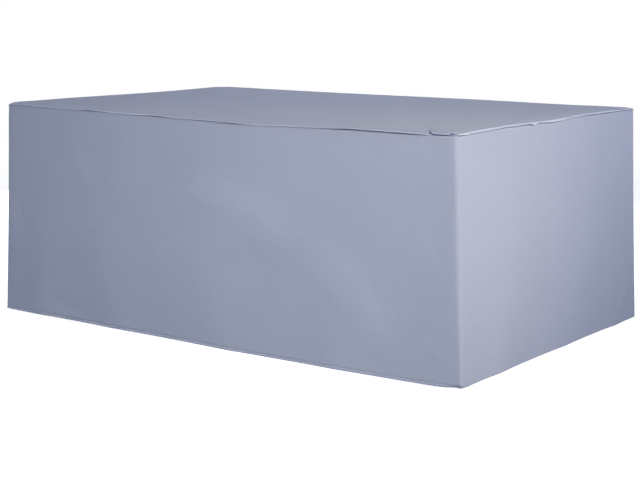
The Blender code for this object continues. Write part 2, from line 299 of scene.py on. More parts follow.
# Share of its thickness at the root, at the swell, at the stitches, past them and at the rounded edge.
BINDING_FULLNESS = (0.92, 0.95, BINDING_PINCH, 1.0, 1.0)
BINDING_EDGE_STEPS = 6
# How unevenly it lies: how much, and how far from one turn to the next.
BINDING_TILT_WAVE = (9.0, 0.060)  # the first in degrees
BINDING_WIDTH_WAVE = (0.0012, 0.034)
SEAM_ALLOWANCE = 0.0026  # how far the two cloths' edges reach into the binding
BAR_TACK_AT = 1.0180  # along the front seam
BAR_TACK_REACH = (0.0010, 0.0130)  # where it starts and stops, out from the seam
BAR_TACK_SPACING = 0.0009
BAR_TACK_POINTS = 8  # on its line
BAR_TACK_STITCH = (0.0010, 0.0030, 0.0010)  # one stitch: up the bar, across it and outward

# How the binding stands out. Columns: along the side, tilt up from level in degrees, width, how far the
# wall is tucked in beneath it. It hangs down over the wall where it lies close to it, and stands out
# level over a tuck where it throws a dark line.
BINDING = {
    "front": [
        (-1.125, -86, 0.0030, 0.000),
        (-1.085, -62, 0.0045, 0.000),
        (-1.000, -32, 0.0055, 0.001),
        (-0.860, -45, 0.0055, 0.000),
        (-0.700, -40, 0.0055, 0.000),
        (-0.660, -8, 0.0070, 0.003),
        (-0.570, -10, 0.0080, 0.004),
        (-0.530, -30, 0.0070, 0.000),
        (-0.490, -60, 0.0055, 0.000),
        (-0.400, -50, 0.0055, 0.000),
        (-0.330, -12, 0.0075, 0.003),
        (-0.240, -6, 0.0085, 0.005),
        (-0.195, -10, 0.0080, 0.003),
        (-0.160, -50, 0.0060, 0.000),
        (-0.080, -35, 0.0060, 0.000),
        (-0.030, -10, 0.0075, 0.003),
        (0.060, -6, 0.0085, 0.005),
        (0.130, -6, 0.0090, 0.007),
        (0.175, -20, 0.0080, 0.003),
        (0.210, -60, 0.0060, 0.000),
        (0.280, -50, 0.0060, 0.001),
        (0.460, -45, 0.0060, 0.001),
        (0.560, -25, 0.0075, 0.002),
        (0.630, -12, 0.0095, 0.008),
        (0.720, -12, 0.0105, 0.010),
        (0.960, -14, 0.0100, 0.009),
        (0.985, -40, 0.0075, 0.001),
        (1.015, -45, 0.0065, 0.000),
    ],
    "front, past the ends": [
        (1.015, 90, 0.0145, 0.006),
        (1.022, 65, 0.0120, 0.007),
        (1.034, 10, 0.0095, 0.008),
        (1.060, -8, 0.0090, 0.008),
        (1.098, -6, 0.0090, 0.007),
        (1.110, 50, 0.0105, 0.004),
        (1.118, 35, 0.0095, 0.002),
        (1.125, 0, 0.0080, 0.001),
    ],
    "right": [
        (-0.715, -20, 0.0080, 0.001),
        (-0.690, -42, 0.0080, 0.002),
        (-0.600, -50, 0.0078, 0.001),
        (-0.500, -52, 0.0072, 0.001),
        (-0.400, -44, 0.0070, 0.002),
        (-0.270, -44, 0.0070, 0.004),
        (-0.195, -46, 0.0070, 0.004),
        (-0.165, -80, 0.0100, 0.000),
        (-0.140, -30, 0.0054, 0.003),
        (-0.080, -52, 0.0060, 0.001),
        (-0.040, -50, 0.0088, 0.005),
        (0.060, -52, 0.0092, 0.006),
        (0.090, -66, 0.0066, 0.000),
        (0.140, -62, 0.0052, 0.000),
        (0.200, -45, 0.0056, 0.001),
        (0.240, -34, 0.0064, 0.003),
        (0.320, -42, 0.0068, 0.002),
        (0.450, -48, 0.0062, 0.002),
        (0.600, -58, 0.0052, 0.001),
        (0.670, -62, 0.0045, 0.000),
        (0.715, -86, 0.0030, 0.000),
    ],
    "back": [
        (-1.125, -86, 0.0030, 0.000),
        (-0.700, -35, 0.0060, 0.001),
        (-0.300, -10, 0.0075, 0.004),
        (0.000, -40, 0.0060, 0.001),
        (0.400, -15, 0.0075, 0.003),
        (0.800, -45, 0.0060, 0.000),
        (1.125, -86, 0.0030, 0.000),
    ],
    "left": [
        (-0.715, -86, 0.0030, 0.000),
        (-0.300, -30, 0.0065, 0.001),
        (0.100, -10, 0.0075, 0.004),
        (0.400, -40, 0.0060, 0.001),
        (0.715, -86, 0.0030, 0.000),
    ],
}
TUCK_BELOW_SEAM = 0.0050  # a tuck's deepest place
TUCK_HALF_WIDTH = 0.0052  # of its hollow, up and down

# ---- The hem ----
HEM_HEIGHT = 0.012  # of the turned-up hem
HEM_FOLD_RADIUS = 0.0013  # of the fold's outer face
HEM_FOLD_STEPS = 6
HEM_ROWS = 6  # of points between the hem's height and its fold
HEM_STITCHES_AT = 0.0100  # above the fold
HEM_FULLNESS = 0.0013  # how far the hem's two layers puff out below their stitches
HEM_FULL_ABOVE_FOLD = 0.002  # height at which they have puffed out
HEM_FULL_BELOW_STITCHES = 0.004  # and how far below the stitches they still are
HEM_GROOVE = 0.0019  # how deep the stitches pull the cloth in
HEM_GROOVE_WIDTH = 0.0034
HEM_ROLL = (0.6, 1.0, 0.25, 0.6)  # share of that fullness and groove on each side, in the order of SIDES
# Where the hem curls in under the cover. Columns: side, along, half width along, how far in, up to what
# height.
HEM_CURLS = [
    (FRONT, 1.098, 0.048, 0.0125, 0.0125),
    (RIGHT, -0.700, 0.030, 0.0040, 0.012),
    (LEFT, 0.300, 0.080, 0.0030, 0.012),
]

# ---- The sewing ----
STITCH_TURN = 4.0  # degrees: how unevenly the stitches lie on their line
CLOSING_SEAM_BELOW_TOP = 0.012  # where its stitches start
CLOSING_SEAM_DOWN_TO = 0.014
CLOSING_SEAM_POINTS = 80  # on its line

# ---- How finely the cloth is divided ----
CORNER_STEPS = 4  # on each side of a rounded corner
WALL_PANELS = {"left": 76, "front": 172, "right": 150, "back": 92}  # between the rounded corners
FINE_STEP = 0.0018  # between rows next to a seam or the hem
COARSE_STEP = 0.0130  # between the wall's other rows
BINDING_STEP = 0.007
SAME_PLACE = 1e-6  # points that are closer than this are one

# ---- The patterns in the cloth, thread and paper ----
# Scales are per metre, and each comment gives the size that is drawn in millimetres.
MOTTLE_SCALE = 3.2  # 310 mm: patches where the coating took the dye a little differently
CRINKLE_SCALE = 26.0  # 40 mm: soft crinkles left from the folded parcel
SLUB_SCALE = 60.0  # 17 mm: length of a slub, a thicker place in a thread
SLUB_NARROWING = 4.0  # 4 mm: its width, where real slubs are 0.5 mm: drawn coarser so that they show
PLY_SCALE = 900.0  # 1.1 mm: one turn of the thread's ply
PAPER_GRAIN_SCALE = 40.0  # 25 mm, where the real grain is 1 mm: drawn coarser so that it shows

# ---- The camera, as the photo's perspective gives it ----
CAMERA_PLACE = (3.8108, -5.1717, 1.3976)
CAMERA_YAW = -36.25  # degrees from +Y towards +X
CAMERA_PITCH = 9.51  # degrees down
CAMERA_ROLL = 0.066
CAMERA_LENS_MM = 85.14
CAMERA_SENSOR_MM = 36.0

# ---- The studio's lamps, room and floor ----
# Columns: name, place, what it points at, width, height, spread in degrees, watts, colour. The two fills
# stand below the top's level, so that they light only the walls that the photo doesn't show.
LAMPS = [
    ("front softbox", (6.38, -7.00, 3.23), (0.45, -0.71, 0.81), 1.2, 1.2, 48.0, 65.0, "FFF8ED"),
    ("end softbox", (5.46, 3.26, 3.21), (0.85, -1.10, 0.42), 1.2, 1.2, 25.0, 7.7, "FFF4E2"),
    ("rear softbox", (4.40, 4.00, 3.90), (-0.33, 0.99, 1.33), 1.2, 1.2, 47.0, 26.1, "F8F6FF"),
    ("overhead softbox", (0.00, -2.50, 4.00), (0.00, -0.40, 0.60), 2.2, 2.2, 180.0, 21.4, "FFF8ED"),
    ("left fill", (-4.40, 1.50, 0.45), (-1.10, -0.20, 0.45), 1.2, 0.8, 120.0, 46.0, "FFF8ED"),
    ("back fill", (-2.30, 3.80, 0.45), (0.20, 0.70, 0.45), 1.2, 0.8, 120.0, 50.0, "FFF8ED"),
]
ROOM_COLOUR = "97C4FF"  # of the soft light that the studio throws back
HORIZON = 0.25  # rise or fall of a ray past which the light from above or below has its full strength
FLOOR_FADE = (0.36, 0.98)  # shares of the floor's radius between which it fades into the backdrop
FLOOR_GLOW = 0.72  # makes the pale paper as bright as the backdrop
FLOOR_EDGES = 96


def linear_from_hex(code):
    """Linear red, green and blue of an sRGB hex value."""
    shares = [int(code[i : i + 2], 16) / 255.0 for i in (0, 2, 4)]
    return tuple(s / 12.92 if s <= 0.04045 else ((s + 0.055) / 1.055) ** 2.4 for s in shares)


# ---- Settings that a user would change ----
class CoverClothSettings(bpy.types.PropertyGroup):
    thickness: bpy.props.FloatProperty(
        name="Cloth thickness",
        description="Thickness of one layer of the coated cloth",
        default=0.0005,
        min=0.0002,
        max=0.002,
        precision=4,
        unit="LENGTH",
    )
    colour: bpy.props.FloatVectorProperty(
        name="Cloth colour",
        description="Colour of the silver-blue coated cloth",
        default=linear_from_hex("9CA2B4"),
        size=3,
        min=0.0,
        max=1.0,
        subtype="COLOR",
    )
    thread_spacing: bpy.props.FloatProperty(
        name="Thread spacing",
        description="Distance between threads of the weave, where the real 0.5 mm would not show",
        default=0.0024,
        min=0.0004,
        max=0.01,
        precision=4,
        unit="LENGTH",
    )
    crease_depth: bpy.props.FloatProperty(
        name="Crease depth",
        description="Share of their full depth that the creases placed by hand have",
        default=1.0,
        min=0.0,
        max=2.0,
        subtype="FACTOR",
    )
    crumple_depth: bpy.props.FloatProperty(
        name="Crumple depth",
        description="Depth of the small crumples where the cloth is crumpled most",
        default=0.0012,
        min=0.0,
        max=0.005,
        precision=4,
        unit="LENGTH",
    )
    pucker_depth: bpy.props.FloatProperty(
        name="Pucker depth",
        description="Depth of the small puckers next to a line of stitches",
        default=0.0008,
        min=0.0,
        max=0.003,
        precision=4,
        unit="LENGTH",
    )


class CoverSewingSettings(bpy.types.PropertyGroup):
    # The binding is the same cloth as the cover; its paler colour is a painted highlight for the bright
    # line along the top seam.
    binding_colour_with_painted_highlight: bpy.props.FloatVectorProperty(
        name="Binding colour",
        description="Colour of the binding strip",
        default=linear_from_hex("ACB2C4"),
        size=3,
        min=0.0,
        max=1.0,
        subtype="COLOR",
    )
    stitch_spacing: bpy.props.FloatProperty(
        name="Stitch spacing",
        description="Distance from one stitch to the next",
        default=0.004,
        min=0.002,
        max=0.01,
        precision=4,
        unit="LENGTH",
    )
    stitch_length: bpy.props.FloatProperty(
        name="Stitch length",
        description="Length of thread that shows in each stitch",
        default=0.0030,
        min=0.001,
        max=0.01,
        precision=4,
        unit="LENGTH",
    )
    thread_width: bpy.props.FloatProperty(
        name="Thread width",
        description="Width of the sewing thread, twice the real 0.35 mm so that it shows",
        default=0.0007,
        min=0.0002,
        max=0.002,
        precision=4,
        unit="LENGTH",
    )
    # The thread is darker than the cloth: partly its own colour, partly painted shade along the lines of
    # stitches.
    thread_colour_with_painted_shade: bpy.props.FloatVectorProperty(
        name="Thread colour",
        description="Colour of the sewing thread",
        default=linear_from_hex("7F869B"),
        size=3,
        min=0.0,
        max=1.0,
        subtype="COLOR",
    )
    bar_tack_colour: bpy.props.FloatVectorProperty(
        name="Bar tack colour",
        description="Colour of the darker thread of the bar tack at the binding's end",
        default=linear_from_hex("545A6B"),
        size=3,
        min=0.0,
        max=1.0,
        subtype="COLOR",
    )


class StudioSettings(bpy.types.PropertyGroup):
    floor_radius: bpy.props.FloatProperty(
        name="Floor radius",
        description="Radius of the round sheet of pale paper that the cover stands on",
        default=7.0,
        min=3.0,
        unit="LENGTH",
    )
    floor_colour: bpy.props.FloatVectorProperty(
        name="Floor colour",
        description="Colour of the floor's paper",
        default=linear_from_hex("F6F6F7"),
        size=3,
        min=0.0,
        max=1.0,
        subtype="COLOR",
    )
    lamp_power: bpy.props.FloatProperty(
        name="Lamp power",
        description="Share of their listed power that the lamps have",
        default=1.0,
        min=0.0,
        subtype="FACTOR",
    )
    light_from_above: bpy.props.FloatProperty(
        name="Light from above",
        description="Brightness of the soft light that the studio's ceiling and walls throw back",
        default=0.20,
        min=0.0,
        max=2.0,
    )
    light_from_below: bpy.props.FloatProperty(
        name="Light from below",
        description="Brightness of the soft light that the floor throws back",
        default=0.315,
        min=0.0,
        max=2.0,
    )


# ---- Curves and tables ----
def smooth_step(share):
    """0 to 1 with level ends, for shares that may run past them."""
    share = np.clip(share, 0.0, 1.0)
    return share * share * (3.0 - 2.0 * share)


def bell(distance, half_width):
    """1 at no distance, falling softly to nothing past the half width."""
    return np.exp(-2.0 * (distance / half_width) ** 2)


def reading(rows, at, column=1):
    """A table's values at places between its rows, on one smooth curve through them."""
    places = np.array([row[0] for row in rows])
    values = np.array([row[column] for row in rows], float)
    at = np.clip(at, places[0], places[-1])
    first = np.clip(np.searchsorted(places, at, side="right") - 1, 0, len(rows) - 2)
    before = np.maximum(np.arange(len(rows)) - 1, 0)
    after = np.minimum(np.arange(len(rows)) + 1, len(rows) - 1)
    slopes = (values[after] - values[before]) / (places[after] - places[before])
    span = places[first + 1] - places[first]
    t = (at - places[first]) / span
    blend = smooth_step(t)
    bend = slopes[first] * (t**3 - 2.0 * t**2 + t) + slopes[first + 1] * (t**3 - t**2)
    return values[first] * (1.0 - blend) + values[first + 1] * blend + span * bend


def side_reading(table, side, at, column=1):
    """A reading for each point from its own side's table."""
    found = np.zeros(np.shape(at))
    for number, name in enumerate(SIDES):
        there = side == number
        found[there] = reading(table[name], at[there], column)
    return found


def graded(length, fine, coarse, growth=1.35):
    """Places from 0 to length whose steps grow from fine to coarse and shrink back to fine."""
    steps = [fine]
    while steps[-1] * growth < coarse:
        steps.append(steps[-1] * growth)
    middle = length - 2.0 * sum(steps)
    count = round(middle / coarse)
    steps = steps + [middle / count] * count + steps[::-1]
    return np.concatenate([[0.0], np.cumsum(steps)])


def wander(places, spacing, seed):
    """A smooth, uneven line between about -1 and 1 that turns once in each spacing."""
    row = Vector((0.0, 7.3 * seed, 1.7 * seed))  # each seed reads the noise along a line of its own
    along = Vector((1.0, 0.0, 0.0))
    return np.array([noise.noise(row + along * (place / spacing)) for place in np.ravel(places)])


# ---- The cover's plan ----
def stations(half, radius, panels):
    """Places along one side: small steps in each rounded corner and even ones between."""
    flat = half - radius
    corner = flat + radius * np.arange(1, CORNER_STEPS + 1) / CORNER_STEPS
    return np.concatenate([-corner[::-1], np.linspace(-flat, flat, panels + 1), corner])


def rounded(x, y, radius):
    """Moves points of the square-cornered plan to where rounded corners have them."""
    past_x = np.abs(x) - (HALF_LENGTH - radius)
    past_y = np.abs(y) - (HALF_WIDTH - radius)
    in_corner = (past_x > 0.0) & (past_y > 0.0)
    reach = np.where(in_corner, np.hypot(past_x, past_y), 1.0)
    pull = np.maximum(past_x, past_y) / reach
    new_x = np.copysign(HALF_LENGTH - radius + past_x * pull, x)
    new_y = np.copysign(HALF_WIDTH - radius + past_y * pull, y)
    return np.where(in_corner, new_x, x), np.where(in_corner, new_y, y)


def plan_places(x, y, radius):
    """(x, y, outward x, outward y, side, place along it) of points on the plan's edge."""
    x, y = rounded(x, y, radius)
    past_x = np.maximum(0.0, np.abs(x) - (HALF_LENGTH - radius))
    past_y = np.maximum(0.0, np.abs(y) - (HALF_WIDTH - radius))
    reach = np.maximum(np.hypot(past_x, past_y), SAME_PLACE)
    out_x, out_y = np.copysign(past_x, x) / reach, np.copysign(past_y, y) / reach
    long_side = np.abs(out_y) >= np.abs(out_x)
    side = np.where(long_side, np.where(y < 0.0, FRONT, BACK), np.where(x < 0.0, LEFT, RIGHT))
    return x, y, out_x, out_y, side, np.where(long_side, x, y)


def square_plan(left, front, right, back):
    """The square-cornered plan's edge, anticlockwise from the back left corner and back to it."""
    x = [np.full(len(left), -HALF_LENGTH), front[1:], np.full(len(right) - 1, HALF_LENGTH), -back[1:]]
    y = [-left, np.full(len(front) - 1, -HALF_WIDTH), right[1:], np.full(len(back) - 1, HALF_WIDTH)]
    return np.concatenate(x), np.concatenate(y)


def wall_plan(radius):
    """The plan's edge at the wall's own columns."""
    halves = {"left": HALF_WIDTH, "front": HALF_LENGTH, "right": HALF_WIDTH, "back": HALF_LENGTH}
    sides = [stations(halves[name], radius, WALL_PANELS[name]) for name in SIDES]
    return plan_places(*square_plan(*sides), radius)


def top_height(x, y):
    """Height of the top's upper face, which bellies a little and slopes to each seam's own sag."""
    distances = {
        "front": (HALF_WIDTH + y, x),
        "back": (HALF_WIDTH - y, x),
        "left": (HALF_LENGTH + x, y),
        "right": (HALF_LENGTH - x, y),
    }
    height = np.full(np.shape(x), TOP_LEVEL)
    shoulder = np.zeros(np.shape(x))
    for side, (distance, place) in distances.items():
        height = height - reading(SEAM_SAG[side], place) * (1.0 - smooth_step(distance / SAG_REACH))
        shoulder = np.maximum(shoulder, np.clip(1.0 - distance / SHOULDER_REACH, 0.0, 1.0) ** 2)
    height = height + SHOULDER_RISE * (1.0 - shoulder)
    for x_side, y_side, droop in CORNER_DROOPS:
        distance = np.hypot(x - x_side * HALF_LENGTH, y - y_side * HALF_WIDTH)
        height = height - droop * bell(distance, CORNER_DROOP_REACH)
    return height


# ---- Creases, crumples and puckers ----
def crease_relief(creases, along, up):
    """Relief of the listed creases: a soft ridge or trough with a shallow one in its lee."""
    relief = np.zeros(np.broadcast(along, up).shape)
    for from_along, from_up, to_along, to_up, bow, half_width, depth in creases:
        run_along = to_along - from_along
        run_up = to_up - from_up
        length = math.hypot(run_along, run_up)
        t = ((along - from_along) * run_along + (up - from_up) * run_up) / length**2
        off = ((along - from_along) * run_up - (up - from_up) * run_along) / length
        off = off - bow * 4.0 * t * (1.0 - t)
        ends = smooth_step(t / CREASE_FADE) * smooth_step((1.0 - t) / CREASE_FADE)
        lee = LEE_DEPTH * bell(off - LEE_OFFSET * half_width, LEE_WIDTH * half_width)
        relief += depth * ends * (bell(off, half_width) - lee)
    return relief


def crumple_relief(points, fold_size, seed):
    """Uneven small folds: sharp little ridges on soft swells, between about -1 and 1."""
    shift = Vector((3.1 * seed, 5.7 * seed, 9.2 * seed))  # each seed has its own part of the noise
    found = np.empty(len(points))
    for i, point in enumerate(points):
        place = Vector(point) / fold_size + shift
        swell = noise.fractal(place, 1.0, 2.0, 2)  # two octaves
        ridge = 1.0 - abs(noise.noise(place / RIDGE_SIZE)) * RIDGE_SHARPNESS
        found[i] = swell + RIDGE_SHARE * (max(ridge, 0.0) ** 3 - RIDGE_MEAN)
    return found


def crumple_strength(side, along, up):
    """How crumpled each point of the walls is, from 0 to 1."""
    strength = np.full(np.broadcast(along, up).shape, SMOOTH_CLOTH_CRUMPLE)
    for patch_side, patch_along, patch_up, half_along, half_up, most in CRUMPLED_PATCHES:
        patch = most * bell(along - patch_along, half_along) * bell(up - patch_up, half_up)
        strength = np.maximum(strength, np.where(side == patch_side, patch, 0.0))
    return strength


def broad_folds(side, along, down):
    """How far the walls' broad folds push them out, at a share of the way down to the hem."""
    bulge = np.zeros(np.broadcast(along, down).shape)
    for number, name in enumerate(SIDES):
        for at_hem, lean, half_width, depth, share in WALL_FOLDS[name]:
            middle = at_hem + lean * (1.0 - down)
            fold = depth * bell(along - middle, half_width) * smooth_step((down - 1.0 + share) / share)
            bulge += np.where(side == number, fold, 0.0)
    return bulge


# ---- The binding's lie, which the two cloths' edges follow into it ----
def binding_lie(side, along):
    """(tilt in radians, width, tuck of the wall beneath) of the binding at places on the seam."""
    past_ends = (side == FRONT) & (along > BINDING_ENDS_AT)
    found = []
    for column in (1, 2, 3):
        value = side_reading(BINDING, side, along, column)
        value[past_ends] = reading(BINDING["front, past the ends"], along[past_ends], column)
        found.append(value)
    line = along + SIDE_SHIFT * side
    tilt = found[0] + BINDING_TILT_WAVE[0] * wander(line, BINDING_TILT_WAVE[1], seed=1)
    width = found[1] + BINDING_WIDTH_WAVE[0] * wander(line, BINDING_WIDTH_WAVE[1], seed=2)
    return np.radians(tilt), width, found[2]


def into_binding(x, y, out_x, out_y, side, along, reach, above):
    """Points inside the binding, a reach out from the seam and a distance above its middle plane."""
    tilt, _, _ = binding_lie(side, along)
    clear_of_wall = BINDING_THICKNESS / 2.0 * np.abs(np.sin(tilt))
    out = clear_of_wall + reach * np.cos(tilt) - above * np.sin(tilt)
    rise = reach * np.sin(tilt) + above * np.cos(tilt) - BINDING_DROP
    return np.stack([x + out_x * out, y + out_y * out, top_height(x, y) + rise], axis=-1)


# ---- Meshes ----
def deselect_all():
    """Leaves nothing selected: operators act on all that is, and the solids come in selected."""
    for thing in bpy.context.view_layer.objects:
        thing.select_set(False)


def cloth_sheet(name, points, uv, ridge, thickness, material):
    """A grid of cloth through points[row, column], given its thickness on the inner side.

    Seen with row 0 up and columns counted to the right, the outer face shows. uv holds each point's place
    on the flat cloth in metres, and ridge how much it is creased outward, from 0 to 1.
    """
    rows = points.shape[0] - 1
    columns = points.shape[1] - 1
    deselect_all()
    bpy.ops.mesh.primitive_grid_add(x_subdivisions=columns, y_subdivisions=rows, size=2.0)
    sheet = bpy.context.object
    sheet.name = sheet.data.name = name
    mesh = sheet.data
    if len(mesh.vertices) != (rows + 1) * (columns + 1):
        raise ValueError(f"{name}: the grid has {len(mesh.vertices)} points")
    mesh.vertices.foreach_set("co", points[::-1].reshape(-1).astype(np.float32))
    corners = np.empty(len(mesh.loops), np.int32)
    mesh.loops.foreach_get("vertex_index", corners)
    flat = uv[::-1].reshape(-1, 2)[corners]
    mesh.uv_layers[0].name = "Flat cloth"
    mesh.uv_layers[0].data.foreach_set("uv", flat.reshape(-1).astype(np.float32))
    # How far the cloth stands out, which makes its crests paler: partly stretched film, partly painted
    # highlight.
    crease = mesh.attributes.new("crease", "FLOAT", "POINT")
    crease.data.foreach_set("value", ridge[::-1].reshape(-1).astype(np.float32))
    bm = bmesh.new()
    bm.from_mesh(mesh)
    bmesh.ops.remove_doubles(bm, verts=bm.verts, dist=SAME_PLACE)
    bm.to_mesh(mesh)
    bm.free()
    mesh.materials.append(material)
    mesh.shade_smooth()
    solidify = sheet.modifiers.new("Cloth thickness", "SOLIDIFY")
    solidify.thickness = thickness
    solidify.offset = -1.0
    solidify.use_even_offset = True
    bpy.ops.object.modifier_apply(modifier=solidify.name)
    return sheet


def unit(vectors):
    """The vectors at a length of 1."""
    return vectors / np.linalg.norm(vectors, axis=1, keepdims=True)


def stitch_shape(size):
    """Points and faces of one stitch, a rounded length of thread.

    size holds its length along the row, its width across it and its height outward.
    """
    deselect_all()
    bpy.ops.mesh.primitive_ico_sphere_add(subdivisions=1, radius=0.5)
    thread = bpy.context.object
    bpy.ops.transform.resize(value=size)
    bpy.ops.object.transform_apply(location=True, rotation=True, scale=True)
    points = np.array([vertex.co for vertex in thread.data.vertices])
    faces = np.array([face.vertices for face in thread.data.polygons])
    mesh = thread.data
    bpy.data.objects.remove(thread)
    bpy.data.meshes.remove(mesh)
    return points, faces


def stitch_row(name, line, outward, spacing, size, material, seed):
    """Stitches at even distances on a line, each turned a little."""
    steps = np.linalg.norm(np.diff(line, axis=0), axis=1)
    run = np.concatenate([[0.0], np.cumsum(steps)])
    count = int(run[-1] / spacing)
    places = (np.arange(count) + 0.5) * run[-1] / count

    def between_points(values, at):
        return np.stack([np.interp(at, run, values[:, i]) for i in range(3)], axis=1)

    near = 1e-3  # how far ahead of a stitch and behind it the line's direction is read
    centre = between_points(line, places)
    tangent = unit(between_points(line, places + near) - between_points(line, places - near))
    across = unit(np.cross(between_points(outward, places), tangent))
    up = np.cross(tangent, across)
    turn = np.random.default_rng(seed).normal(0.0, math.radians(STITCH_TURN), count)[:, None]
    lengthwise = tangent * np.cos(turn) + across * np.sin(turn)
    sideways = across * np.cos(turn) - tangent * np.sin(turn)
    shape, faces = stitch_shape(size)
    points = (
        centre[:, None]
        + shape[None, :, 0:1] * lengthwise[:, None]
        + shape[None, :, 1:2] * sideways[:, None]
        + shape[None, :, 2:3] * up[:, None]
    ).reshape(-1, 3)
    all_faces = (faces[None] + len(shape) * np.arange(count)[:, None, None]).reshape(-1, 3)
    mesh = bpy.data.meshes.new(name)
    mesh.from_pydata(points.tolist(), [], all_faces.tolist())
    mesh.materials.append(material)
    mesh.shade_smooth()
    row = bpy.data.objects.new(name, mesh)
    bpy.context.scene.collection.objects.link(row)
    return row


def put_on_cover(piece):
    """The piece rides on the cover's body."""
    if not piece.data.polygons:
        raise ValueError(f"{piece.name} has no faces")
    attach(piece, BODY)


def sew_row(sewing, name, line, outward, material, seed):
    """A row of the cover's ordinary stitches, which ride on its cloth."""
    size = (sewing.stitch_length, sewing.thread_width, sewing.thread_width)
    row = stitch_row(name, line, outward, sewing.stitch_spacing, size, material, seed)
    put_on_cover(row)


# ---- Materials ----
def add_node(tree, kind, settings, links):
    """Adds a node, sets its properties and sockets, and links other nodes' outputs to its inputs."""
    node = tree.nodes.new(kind)
    for name, value in settings.items():
        if isinstance(name, str) and hasattr(node, name):
            setattr(node, name, value)
        else:
            node.inputs[name].default_value = value
    for name, output in links.items():
        tree.links.new(output, node.inputs[name])
    return node


def new_material(name):
    """A new material, its nodes and its shader."""
    material = bpy.data.materials.new(name)
    material.use_nodes = True
    return material, material.node_tree, material.node_tree.nodes["Principled BSDF"]


def dyed(tree, colour, source, darkest, palest):
    """A plain colour, or one that a node gives, whose brightness follows a pattern from 0 to 1."""
    tone = add_node(tree, "ShaderNodeMapRange", {"To Min": darkest, "To Max": palest}, {"Value": source})
    settings = {"operation": "SCALE"}
    links = {"Scale": tone.outputs["Result"]}
    given = links if isinstance(colour, bpy.types.NodeSocket) else settings
    given[0] = colour
    return add_node(tree, "ShaderNodeVectorMath", settings, links).outputs["Vector"]


def woven_threads(tree, flat, thread_spacing):
    """Height of a plain weave on the flat cloth: 0 between the threads and 1 on top of them."""
    per_thread = (1.0 / thread_spacing, 1.0 / thread_spacing, 1.0)
    threads = add_node(tree, "ShaderNodeMapping", {"Scale": per_thread}, {"Vector": flat})
    over = add_node(tree, "ShaderNodeTexChecker", {"Scale": 1.0}, {"Vector": threads.outputs["Vector"]})
    apart = add_node(tree, "ShaderNodeSeparateXYZ", {}, {"Vector": threads.outputs["Vector"]})
    rounds = {"Factor": over.outputs["Fac"]}
    steps = ({"operation": "MULTIPLY", 1: math.pi}, {"operation": "SINE"}, {"operation": "ABSOLUTE"})
    for axis, thread in (("X", "A"), ("Y", "B")):
        height = apart.outputs[axis]
        for step in steps:
            height = add_node(tree, "ShaderNodeMath", step, {0: height}).outputs["Value"]
        rounds[thread] = height
    return add_node(tree, "ShaderNodeMix", {"data_type": "FLOAT"}, rounds).outputs["Result"]


def coated_oxford_cloth(name, colour, thread_spacing):
    """Polyester oxford cloth with a water-repellent coating: a tight plain weave under a thin film.

    The film gives the eye a soft satin sheen that widens towards the light, the weave a fine grain in it,
    and the folds a slightly paler crest: partly film whitened where it is stretched, partly a painted
    highlight on the raised cloth.
    """
    material, tree, shader = new_material(name)
    flat = add_node(tree, "ShaderNodeUVMap", {"uv_map": "Flat cloth"}, {}).outputs["UV"]
    place = add_node(tree, "ShaderNodeTexCoord", {}, {}).outputs["Object"]
    crease = add_node(tree, "ShaderNodeAttribute", {"attribute_name": "crease"}, {}).outputs["Fac"]
    weave = woven_threads(tree, flat, thread_spacing)
    narrow = add_node(tree, "ShaderNodeMapping", {"Scale": (SLUB_NARROWING, 1.0, 1.0)}, {"Vector": flat})
    slubs = add_node(
        tree,
        "ShaderNodeTexNoise",
        {"Scale": SLUB_SCALE, "Detail": 2.0},
        {"Vector": narrow.outputs["Vector"]},
    ).outputs["Fac"]
    mottle = add_node(
        tree,
        "ShaderNodeTexNoise",
        {"Scale": MOTTLE_SCALE, "Detail": 3.0, "Roughness": 0.55},
        {"Vector": place},
    ).outputs["Fac"]
    crinkle = add_node(
        tree,
        "ShaderNodeTexNoise",
        {"Scale": CRINKLE_SCALE, "Detail": 4.0, "Roughness": 0.6, "Distortion": 0.6},
        {"Vector": place},
    ).outputs["Fac"]
    # Columns: pattern, the shares of the cloth's colour at its darkest and at its palest.
    # The crease tone is partly stretched film and partly a painted highlight on the raised cloth.
    tones = ((mottle, 0.95, 1.05), (slubs, 0.97, 1.03), (weave, 0.92, 1.05), (crease, 1.0, 1.04))
    for source, darkest, palest in tones:
        colour = dyed(tree, colour, source, darkest, palest)
    rough = add_node(tree, "ShaderNodeMapRange", {"To Min": 0.68, "To Max": 0.78}, {"Value": mottle})
    soft = add_node(tree, "ShaderNodeBump", {"Strength": 0.35, "Distance": 0.004}, {"Height": crinkle})
    fine = add_node(
        tree,
        "ShaderNodeBump",
        {"Strength": 0.35, "Distance": 0.0005},
        {"Height": weave, "Normal": soft.outputs["Normal"]},
    )
    tree.links.new(colour, shader.inputs["Base Color"])
    tree.links.new(rough.outputs["Result"], shader.inputs["Roughness"])
    tree.links.new(fine.outputs["Normal"], shader.inputs["Normal"])
    shader.inputs["IOR"].default_value = 1.5
    shader.inputs["Specular IOR Level"].default_value = 0.12  # the film follows the threads: no mirror
    shader.inputs["Sheen Weight"].default_value = 0.06
    shader.inputs["Sheen Roughness"].default_value = 0.4
    return material


def polyester_thread(name, colour):
    """Spun polyester sewing thread: matt, its ply faintly showing, and darker than the cloth: partly its
    own colour, partly painted shade along the lines of stitches.
    """
    material, tree, shader = new_material(name)
    place = add_node(tree, "ShaderNodeTexCoord", {}, {}).outputs["Object"]
    ply = add_node(tree, "ShaderNodeTexNoise", {"Scale": PLY_SCALE, "Detail": 1.0}, {"Vector": place})
    spun = dyed(tree, colour, ply.outputs["Fac"], 0.85, 1.15)
    tree.links.new(spun, shader.inputs["Base Color"])
    shader.inputs["Roughness"].default_value = 0.7
    shader.inputs["Sheen Weight"].default_value = 0.3
    return material


